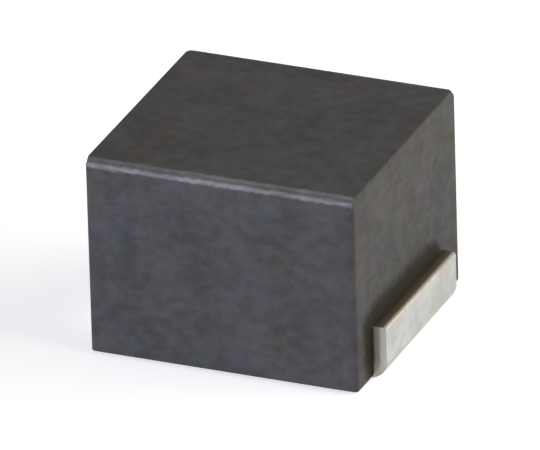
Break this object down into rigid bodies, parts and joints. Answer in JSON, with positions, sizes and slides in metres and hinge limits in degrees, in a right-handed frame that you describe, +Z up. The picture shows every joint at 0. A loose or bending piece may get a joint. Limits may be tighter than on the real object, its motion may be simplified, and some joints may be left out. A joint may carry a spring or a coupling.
{
  "type": "shielded smd inductor",
  "caption": "Plain magnetic block with a sealed wound core, on two bent tinned terminals that wrap under its ends.",
  "frame": {"origin": "on the board, under the middle of the part, midway between the two terminals", "axes": "+X runs from the left terminal to the right one, +Y towards the back long face, +Z up from the board"},
  "size_m": [0.0044, 0.0038, 0.003],
  "materials": {
    "magnetic_compound": "matte",
    "magnetic_core": "matte",
    "enamelled_copper": "gloss",
    "tinned_strip": "satin",
    "solder": "satin"
  },
  "bodies": {
    "root": {"shield_body": "magnetic_compound", "core": "magnetic_core", "coil": "enamelled_copper", "terminal_left": "tinned_strip", "terminal_right": "tinned_strip", "solder_joint_left": "solder", "solder_joint_right": "solder"}
  },
  "joints": []
}
